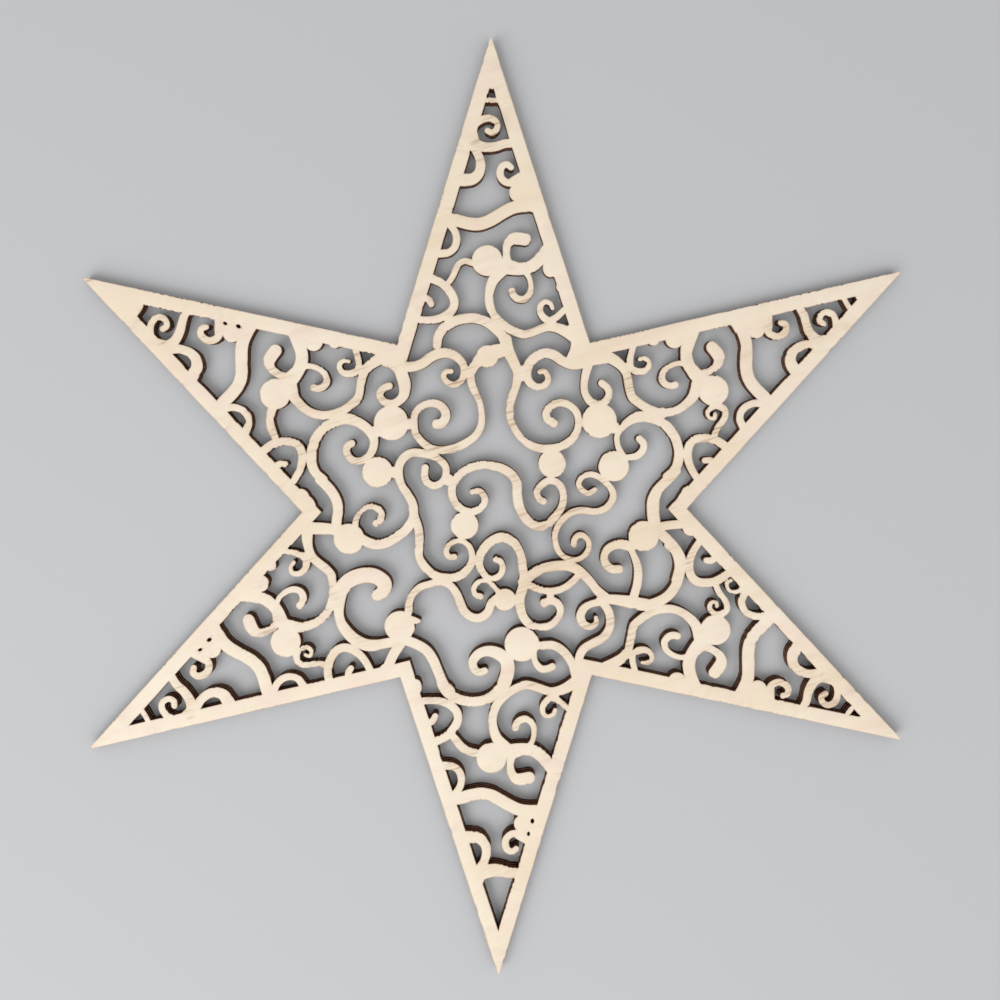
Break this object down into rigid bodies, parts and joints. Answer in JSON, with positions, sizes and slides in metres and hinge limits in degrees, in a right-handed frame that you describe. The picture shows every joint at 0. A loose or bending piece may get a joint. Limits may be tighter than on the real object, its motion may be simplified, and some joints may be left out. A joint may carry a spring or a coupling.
{
  "type": "star ornament",
  "caption": "Flat pointed star of thin birch plywood with openwork scrolls inside a plain border, a decoration that lies, leans or hangs.",
  "frame": {"origin": "centre of the star on its back face, the middle of the underside of its bounding box", "axes": "+Z out of the front face, +Y towards the top point, +X to the right seen from the front"},
  "size_m": [0.2324, 0.2684, 0.003],
  "materials": {
    "front_veneer": "sanded, bare",
    "core_veneer": "charred at the cut edge",
    "back_veneer": "sanded, bare"
  },
  "bodies": {
    "root": {"front_veneer": "front_veneer", "core_veneer": "core_veneer", "back_veneer": "back_veneer"}
  },
  "joints": []
}
